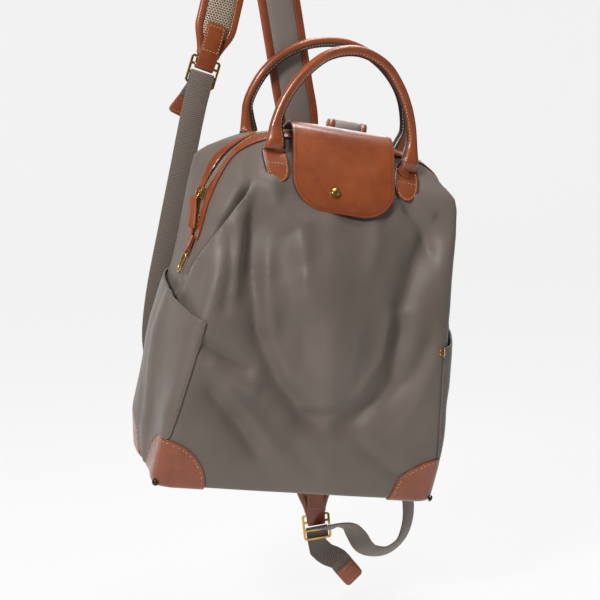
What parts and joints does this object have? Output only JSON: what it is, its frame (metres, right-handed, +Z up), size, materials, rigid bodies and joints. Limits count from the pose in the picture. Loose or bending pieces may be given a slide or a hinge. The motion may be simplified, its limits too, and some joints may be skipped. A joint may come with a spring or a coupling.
{
  "type": "backpack",
  "caption": "Soft convertible backpack with padded shoulder straps, carrying handles, leather corner patches, side pockets and a top flap over the zip, hanging from one strap.",
  "frame": {"origin": "Highest point inside the top loop of the strap that holds the bag, where it touches the hook.", "axes": "+Z up, -Y towards the bag's front, +X towards its right side seen from the front. The bag hangs from the origin, its top leaning forward and towards +X."},
  "size_m": [0.3321, 0.1988, 0.7714],
  "materials": {
    "nylon": "fine taupe weave, slight sheen",
    "leather": "glossy tan, stitched",
    "brass": "polished",
    "dark_metal": "dark, antiqued",
    "teeth": "small metal teeth on a tape",
    "mesh_cloth": "beige spacer mesh, matt",
    "webbing": "ribbed across, matt"
  },
  "bodies": {
    "root": {"bag_body": "nylon", "left_pocket": "nylon", "right_pocket": "nylon", "right_pocket_ring": "brass", "corner_patch_front_left": "leather", "corner_stud_front_left": "dark_metal", "corner_patch_front_right": "leather", "corner_stud_front_right": "dark_metal", "corner_patch_back_left": "leather", "corner_stud_back_left": "dark_metal", "corner_patch_back_right": "leather", "corner_stud_back_right": "dark_metal", "zip_edging_front": "leather", "zip_edging_back": "leather", "zip_chain": "teeth", "zip_slider": "brass", "zip_link": "brass", "zip_pull_tab": "leather", "left_ring": "brass", "left_ring_tab": "leather", "left_lower_anchor": "leather", "right_ring": "brass", "right_ring_tab": "leather", "right_lower_anchor": "leather", "front_handle": "leather", "back_handle": "leather", "top_flap": "leather", "snap_cap": "brass", "snap_post": "brass", "strap_anchor": "leather", "carrying_strap_outer": "nylon", "carrying_strap_mesh": "mesh_cloth", "carrying_strap_edge_a": "leather", "carrying_strap_edge_b": "leather", "carrying_strap_end_tab": "leather", "carrying_strap_buckle": "brass", "carrying_strap_webbing": "webbing", "carrying_strap_tail_tip": "leather", "hanging_strap_outer": "nylon", "hanging_strap_mesh": "mesh_cloth", "hanging_strap_edge_a": "leather", "hanging_strap_edge_b": "leather", "hanging_strap_end_tab": "leather", "hanging_strap_buckle": "brass", "hanging_strap_webbing": "webbing", "hanging_strap_tail_tip": "leather"}
  },
  "joints": []
}
